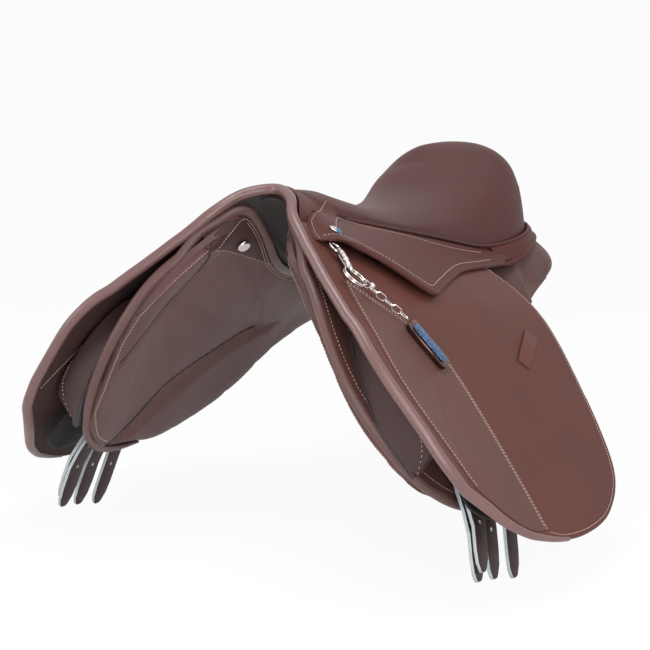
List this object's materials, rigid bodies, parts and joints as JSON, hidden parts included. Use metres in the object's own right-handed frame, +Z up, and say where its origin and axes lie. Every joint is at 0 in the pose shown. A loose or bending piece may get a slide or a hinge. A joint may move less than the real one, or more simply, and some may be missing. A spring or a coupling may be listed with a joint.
{
  "type": "english saddle",
  "caption": "Leather close-contact jumping saddle with padded seat, forward flaps, knee blocks, panels, girth straps, stirrup bars and a keyring charm.",
  "frame": {"origin": "point in the gullet under the seat where a saddle rack carries the saddle", "axes": "+X to the rider's left (near side), +Y to the cantle, +Z up"},
  "size_m": [0.7006, 0.6368, 0.4293],
  "materials": {
    "seat_leather": "soft matt grain",
    "panel_leather": "soft matt grain",
    "flap_leather": "waxed",
    "strap_leather": "waxed, pale cut edges",
    "guard_leather": "matt",
    "lining": "matt",
    "foam": "foam",
    "webbing": "woven",
    "hook_loop": "hook and loop pile",
    "wood": "laminated",
    "forged_steel": "forged, satin",
    "bright_steel": "bright",
    "enamel": "gloss enamel",
    "blue_inlay": "glittered"
  },
  "bodies": {
    "saddle": {"seat_cover": "seat_leather", "seat_foam": "foam", "tree": "wood", "seat_web_left": "webbing", "seat_web_right": "webbing", "seat_welt": "seat_leather", "cantle_skirt": "flap_leather", "pommel_roll": "flap_leather", "pommel_facing": "flap_leather", "gullet_lining": "lining", "head_plate": "forged_steel", "panel_left": "panel_leather", "point_pocket_left": "panel_leather", "pocket_stud_left": "forged_steel", "sweat_flap_left": "flap_leather", "girth_web_front_left": "webbing", "girth_web_rear_left": "webbing", "block_base_left": "hook_loop", "stirrup_bar_left": "forged_steel", "panel_right": "panel_leather", "point_pocket_right": "panel_leather", "pocket_stud_right": "forged_steel", "sweat_flap_right": "flap_leather", "girth_web_front_right": "webbing", "girth_web_rear_right": "webbing", "block_base_right": "hook_loop", "stirrup_bar_right": "forged_steel"},
    "flap_body_left": {"flap_left": "flap_leather", "flap_roll_left": "flap_leather", "flap_keeper_left": "flap_leather", "dee_chape_left": "flap_leather"},
    "skirt_body_left": {"skirt_left": "flap_leather", "pommel_nail_left": "enamel"},
    "dee_left": {"dee_ring_left": "bright_steel"},
    "front_straps_left": {"girth_strap_1_left": "strap_leather", "girth_strap_2_left": "strap_leather"},
    "middle_strap_left": {"girth_strap_3_left": "strap_leather"},
    "rear_strap_left": {"girth_strap_4_left": "strap_leather"},
    "guard_left": {"buckle_guard_left": "guard_leather"},
    "block_left": {"knee_block_left": "guard_leather"},
    "flap_body_right": {"flap_right": "flap_leather", "flap_roll_right": "flap_leather", "flap_keeper_right": "flap_leather", "dee_chape_right": "flap_leather"},
    "skirt_body_right": {"skirt_right": "flap_leather", "pommel_nail_right": "enamel"},
    "dee_right": {"dee_ring_right": "bright_steel"},
    "front_straps_right": {"girth_strap_1_right": "strap_leather", "girth_strap_2_right": "strap_leather"},
    "middle_strap_right": {"girth_strap_3_right": "strap_leather"},
    "rear_strap_right": {"girth_strap_4_right": "strap_leather"},
    "guard_right": {"buckle_guard_right": "guard_leather"},
    "block_right": {"knee_block_right": "guard_leather"},
    "charm_clip_body": {"charm_clip": "bright_steel"},
    "charm_ring_body": {"charm_ring": "bright_steel"},
    "charm_chain_body": {"charm_chain": "bright_steel", "charm_bell": "bright_steel"},
    "charm_fob_body": {"charm_fob": "bright_steel", "charm_inlay": "blue_inlay"}
  },
  "joints": [
    {"name": "flap_lift_left", "type": "hinge", "parent": "saddle", "child": "flap_body_left", "pos_m": [0.06205, -0.03, 0.05239], "axis": [-0.1795, -0.956, 0.2322], "range_deg": [0, 36]},
    {"name": "skirt_lift_left", "type": "hinge", "parent": "flap_body_left", "child": "skirt_body_left", "pos_m": [0.06205, -0.03, 0.05239], "axis": [-0.1795, -0.956, 0.2322], "range_deg": [0, 30]},
    {"name": "dee_lift_left", "type": "hinge", "parent": "flap_body_left", "child": "dee_left", "pos_m": [0.09234, -0.21032, 0.05916], "axis": [-0.3337, -0.838, 0.4317], "range_deg": [0, 4]},
    {"name": "front_straps_lift_left", "type": "hinge", "parent": "saddle", "child": "front_straps_left", "pos_m": [0.11515, -0.13, 0.0121], "axis": [0, -1, 0], "range_deg": [0, 2]},
    {"name": "middle_strap_lift_left", "type": "hinge", "parent": "saddle", "child": "middle_strap_left", "pos_m": [0.11371, -0.096, 0.01099], "axis": [0, -1, 0], "range_deg": [0, 2.5]},
    {"name": "rear_strap_lift_left", "type": "hinge", "parent": "saddle", "child": "rear_strap_left", "pos_m": [0.11138, -0.052, 0.00919], "axis": [0, -1, 0], "range_deg": [0, 2.5]},
    {"name": "guard_lift_left", "type": "hinge", "parent": "saddle", "child": "guard_left", "pos_m": [0.13978, -0.135, 0.0008], "axis": [0, -1, 0], "range_deg": [0, 2]},
    {"name": "block_slide_left", "type": "slide", "parent": "saddle", "child": "block_left", "axis": [0.5074, 0, -0.8617], "range_m": [-0.012, 0.012]},
    {"name": "flap_lift_right", "type": "hinge", "parent": "saddle", "child": "flap_body_right", "pos_m": [-0.06205, -0.03, 0.05239], "axis": [-0.1795, 0.956, -0.2322], "range_deg": [0, 36]},
    {"name": "skirt_lift_right", "type": "hinge", "parent": "flap_body_right", "child": "skirt_body_right", "pos_m": [-0.06205, -0.03, 0.05239], "axis": [-0.1795, 0.956, -0.2322], "range_deg": [0, 30]},
    {"name": "dee_lift_right", "type": "hinge", "parent": "flap_body_right", "child": "dee_right", "pos_m": [-0.09234, -0.21032, 0.05916], "axis": [-0.3337, 0.838, -0.4317], "range_deg": [0, 4]},
    {"name": "front_straps_lift_right", "type": "hinge", "parent": "saddle", "child": "front_straps_right", "pos_m": [-0.11515, -0.13, 0.0121], "axis": [0, 1, 0], "range_deg": [0, 2]},
    {"name": "middle_strap_lift_right", "type": "hinge", "parent": "saddle", "child": "middle_strap_right", "pos_m": [-0.11371, -0.096, 0.01099], "axis": [0, 1, 0], "range_deg": [0, 2.5]},
    {"name": "rear_strap_lift_right", "type": "hinge", "parent": "saddle", "child": "rear_strap_right", "pos_m": [-0.11138, -0.052, 0.00919], "axis": [0, 1, 0], "range_deg": [0, 2.5]},
    {"name": "guard_lift_right", "type": "hinge", "parent": "saddle", "child": "guard_right", "pos_m": [-0.13978, -0.135, 0.0008], "axis": [0, 1, 0], "range_deg": [0, 2]},
    {"name": "block_slide_right", "type": "slide", "parent": "saddle", "child": "block_right", "axis": [-0.5074, 0, -0.8617], "range_m": [-0.012, 0.012]},
    {"name": "clip_swing", "type": "hinge", "parent": "dee_left", "child": "charm_clip_body", "pos_m": [0.10546, -0.21968, 0.05114], "axis": [0.7912, 0, 0.6115], "range_deg": [-5, 5]},
    {"name": "ring_swing", "type": "hinge", "parent": "charm_clip_body", "child": "charm_ring_body", "pos_m": [0.12798, -0.23572, 0.0374], "axis": [0.7912, 0, 0.6115], "range_deg": [-5, 5]},
    {"name": "chain_swing", "type": "hinge", "parent": "charm_ring_body", "child": "charm_chain_body", "pos_m": [0.14574, -0.23404, 0.02351], "axis": [0.7912, 0, 0.6115], "range_deg": [-6, 6]},
    {"name": "fob_swing", "type": "hinge", "parent": "charm_chain_body", "child": "charm_fob_body", "pos_m": [0.17423, -0.196, -0.0206], "axis": [0.7912, 0, 0.6115], "range_deg": [-6, 6]}
  ]
}
